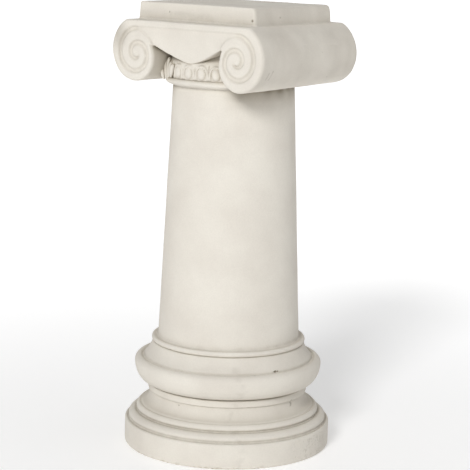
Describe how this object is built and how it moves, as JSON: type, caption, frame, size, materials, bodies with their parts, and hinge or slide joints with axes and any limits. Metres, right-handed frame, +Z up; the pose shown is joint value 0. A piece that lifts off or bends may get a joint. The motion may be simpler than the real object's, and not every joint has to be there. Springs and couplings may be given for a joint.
{
  "type": "ionic column",
  "caption": "Short round pedestal column in pale cast stone with a moulded base, plain tapering shaft, scrolled volute capital and square abacus.",
  "frame": {"origin": "middle of the plinth's underside", "axes": "+Z up the column, -Y towards one scrolled face, +X along that face to its right, so the rolls run along Y"},
  "size_m": [0.3752, 0.3752, 0.8],
  "materials": {
    "cast_stone": "matt pale cast stone with worn edges, small pores and light grey-ochre staining in the hollows"
  },
  "bodies": {
    "root": {"ionic_column": "cast_stone"}
  },
  "joints": []
}
